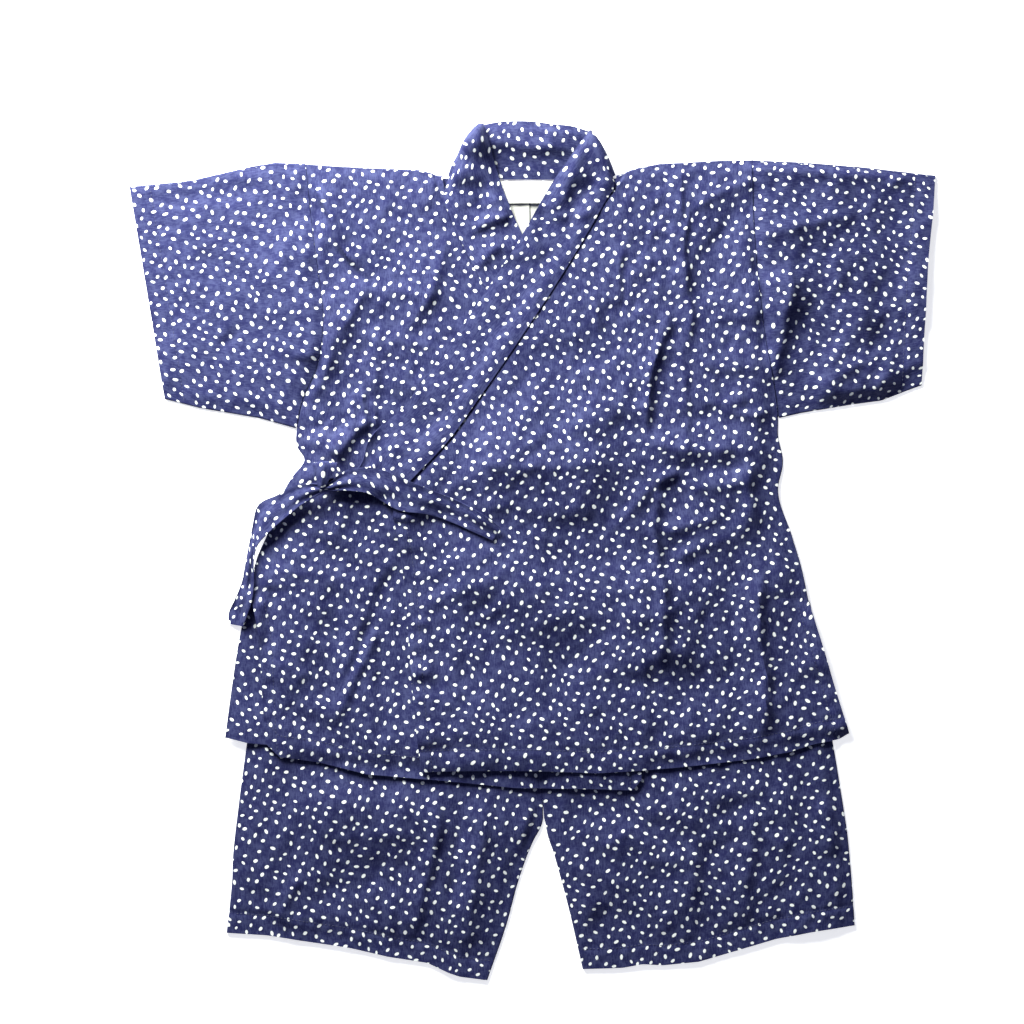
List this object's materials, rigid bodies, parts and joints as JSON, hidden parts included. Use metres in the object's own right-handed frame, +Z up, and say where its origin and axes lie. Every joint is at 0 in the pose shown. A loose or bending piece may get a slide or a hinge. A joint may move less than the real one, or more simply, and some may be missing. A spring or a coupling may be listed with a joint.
{
  "type": "jinbei set",
  "caption": "Child's cotton jinbei laid flat: a wrap jacket with a crossed collar band, side tie and short sleeves, lying on its matching shorts.",
  "frame": {"origin": "middle of the laid set on the surface that it lies on", "axes": "+Y towards the neck, +X towards the wearer's left sleeve, +Z up from the surface"},
  "size_m": [0.6441, 0.6862, 0.0189],
  "materials": {
    "printed_cotton": "matte",
    "label_tape": "matte"
  },
  "bodies": {
    "root": {"body_left": "printed_cotton", "body_right": "printed_cotton", "sleeve_left": "printed_cotton", "sleeve_right": "printed_cotton", "collar_band": "printed_cotton", "tie_over": "printed_cotton", "tie_side": "printed_cotton", "tie_knot": "printed_cotton", "neck_label": "label_tape", "care_label_left": "label_tape", "care_label_right": "label_tape", "leg_left": "printed_cotton", "leg_right": "printed_cotton", "waistband": "printed_cotton"}
  },
  "joints": []
}
